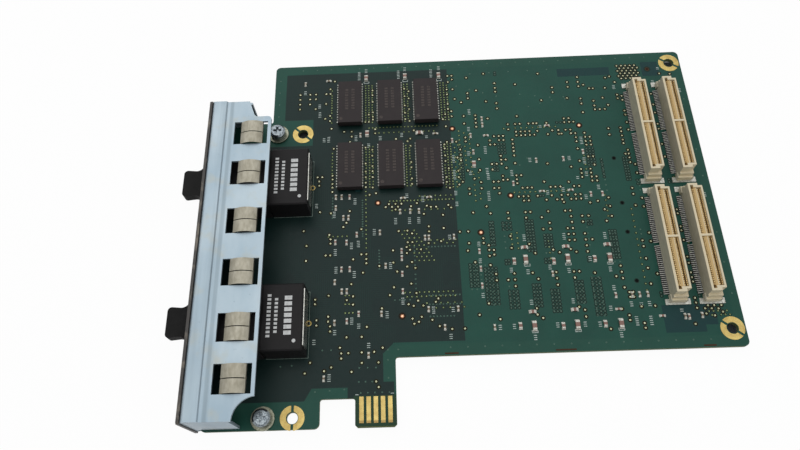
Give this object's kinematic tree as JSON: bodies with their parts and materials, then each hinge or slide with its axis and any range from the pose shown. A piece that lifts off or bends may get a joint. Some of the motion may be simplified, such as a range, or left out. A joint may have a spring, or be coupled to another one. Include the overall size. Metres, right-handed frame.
{
  "type": "switch line card",
  "caption": "Fibre switch line card: stepped board with folded steel bracket, face plate, duplex transceivers with dust plugs, memory chips and two-row stacking connectors.",
  "frame": {"origin": "midway between the two left mounting holes, on the board's underside", "axes": "+X from the face plate to the stacking connectors, along the card; +Y away from the edge tab, along the face plate; +Z out of the component side"},
  "size_m": [0.2095, 0.1564, 0.0226],
  "materials": {
    "laminate": "satin green solder mask",
    "gold_plating": "gold plated",
    "zinc_steel": "satin zinc",
    "plate_paint": "satin dark grey",
    "spring_metal": "bright",
    "screw_steel": "zinc plated",
    "washer_steel": "zinc plated",
    "potted_plastic": "fine texture",
    "port_plastic": "satin",
    "shield_metal": "bright",
    "sleeve_ceramic": "smooth",
    "plug_rubber": "matte",
    "chip_plastic": "fine texture",
    "connector_plastic": "satin",
    "capacitor_ceramic": "smooth",
    "tinned_metal": "bright tin"
  },
  "bodies": {
    "card": {"circuit_board": "laminate", "ground_rings": "gold_plating", "edge_contacts": "gold_plating", "bracket": "zinc_steel", "face_plate": "plate_paint", "spring_contact_1": "spring_metal", "spring_contact_2": "spring_metal", "spring_contact_3": "spring_metal", "spring_contact_4": "spring_metal", "spring_contact_5": "spring_metal", "spring_contact_6": "spring_metal", "bracket_screws": "screw_steel", "flat_washers": "washer_steel", "spring_washers": "screw_steel", "lower_module_case": "potted_plastic", "lower_receptacle": "port_plastic", "lower_rear_shield": "shield_metal", "lower_ferrule_sleeves": "sleeve_ceramic", "lower_solder_pins": "tinned_metal", "upper_module_case": "potted_plastic", "upper_receptacle": "port_plastic", "upper_rear_shield": "shield_metal", "upper_ferrule_sleeves": "sleeve_ceramic", "upper_solder_pins": "tinned_metal", "memory_chip_1": "chip_plastic", "memory_leads_1": "tinned_metal", "memory_chip_2": "chip_plastic", "memory_leads_2": "tinned_metal", "memory_chip_3": "chip_plastic", "memory_leads_3": "tinned_metal", "memory_chip_4": "chip_plastic", "memory_leads_4": "tinned_metal", "memory_chip_5": "chip_plastic", "memory_leads_5": "tinned_metal", "memory_chip_6": "chip_plastic", "memory_leads_6": "tinned_metal", "stacking_connector_1": "connector_plastic", "connector_leads_1": "tinned_metal", "hold_downs_1": "tinned_metal", "stacking_connector_2": "connector_plastic", "connector_leads_2": "tinned_metal", "hold_downs_2": "tinned_metal", "stacking_connector_3": "connector_plastic", "connector_leads_3": "tinned_metal", "hold_downs_3": "tinned_metal", "stacking_connector_4": "connector_plastic", "connector_leads_4": "tinned_metal", "hold_downs_4": "tinned_metal", "chip_capacitors": "capacitor_ceramic"},
    "lower_plug": {"lower_dust_plug": "plug_rubber"},
    "upper_plug": {"upper_dust_plug": "plug_rubber"}
  },
  "joints": [
    {"name": "lower_plug_pull", "type": "slide", "parent": "card", "child": "lower_plug", "axis": [-1, 0, 0], "range_m": [0, 0.025]},
    {"name": "upper_plug_pull", "type": "slide", "parent": "card", "child": "upper_plug", "axis": [-1, 0, 0], "range_m": [0, 0.025]}
  ]
}
